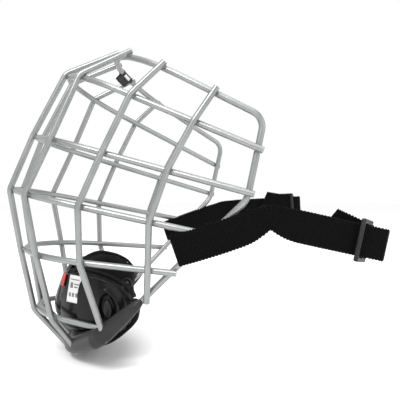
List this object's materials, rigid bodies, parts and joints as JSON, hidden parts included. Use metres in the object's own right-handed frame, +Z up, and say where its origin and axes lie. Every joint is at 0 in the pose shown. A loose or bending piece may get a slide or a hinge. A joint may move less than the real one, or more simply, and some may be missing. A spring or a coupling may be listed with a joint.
{
  "type": "hockey helmet cage",
  "caption": "Welded wire face mask with a padded chin cup and webbing straps with sliders for an ice hockey helmet.",
  "frame": {"origin": "middle of the frame wire's forehead run, on the wire's centre line, where the helmet's front clips hold the cage", "axes": "+Z up, -Y the way the wearer faces, +X the wearer's left"},
  "size_m": [0.1982, 0.2508, 0.223],
  "materials": {
    "wire": "satin silver-grey coating",
    "tag": "woven, black with pale marks",
    "trough": "smooth moulded, satin",
    "liner": "brushed cloth over foam",
    "shell": "moulded, fine grain",
    "cushion": "cloth over foam",
    "wing": "moulded, satin",
    "stud": "satin",
    "snap": "satin",
    "webbing": "woven webbing",
    "slider": "satin",
    "sticker": "printed film",
    "stripe": "printed film"
  },
  "bodies": {
    "cage": {"frame_wire": "wire", "brow_wire": "wire", "eye_wire": "wire", "nose_wire": "wire", "mouth_wire": "wire", "chin_wire": "wire", "inner_upright_left": "wire", "inner_upright_right": "wire", "front_upright_left": "wire", "front_upright_right": "wire", "cheek_upright_left": "wire", "cheek_upright_right": "wire", "side_upright_left": "wire", "side_upright_right": "wire", "label_tag": "tag", "band": "trough", "strap_loop_left": "webbing", "strap_loop_right": "webbing", "cup_liner": "liner", "cup_shell": "shell", "lip_cushion": "cushion", "cup_wing_left": "wing", "cup_wing_right": "wing", "stud_left": "stud", "stud_right": "stud", "snap_left": "snap", "snap_right": "snap", "cup_sticker": "sticker", "cup_stripe": "stripe"},
    "strap_rear_left": {"strap_tail_left": "webbing"},
    "strap_rear_right": {"strap_tail_right": "webbing"},
    "slider_unit_left": {"slider_left": "slider", "free_end_left": "webbing"},
    "slider_unit_right": {"slider_right": "slider", "free_end_right": "webbing"}
  },
  "joints": [
    {"name": "strap_swing_left", "type": "hinge", "parent": "cage", "child": "strap_rear_left", "pos_m": [0.09118, 0.09737, -0.11642], "axis": [0, -0.0567, 0.9984], "range_deg": [-60, 20]},
    {"name": "strap_swing_right", "type": "hinge", "parent": "cage", "child": "strap_rear_right", "pos_m": [-0.09118, 0.09737, -0.11642], "axis": [0, -0.1908, 0.9816], "range_deg": [-20, 60]},
    {"name": "slider_slide_left", "type": "slide", "parent": "strap_rear_left", "child": "slider_unit_left", "axis": [0, 0.9763, -0.2164], "range_m": [-0.028, 0.003]},
    {"name": "slider_slide_right", "type": "slide", "parent": "strap_rear_right", "child": "slider_unit_right", "axis": [0, 0.9986, 0.0523], "range_m": [-0.028, 0.003]}
  ]
}
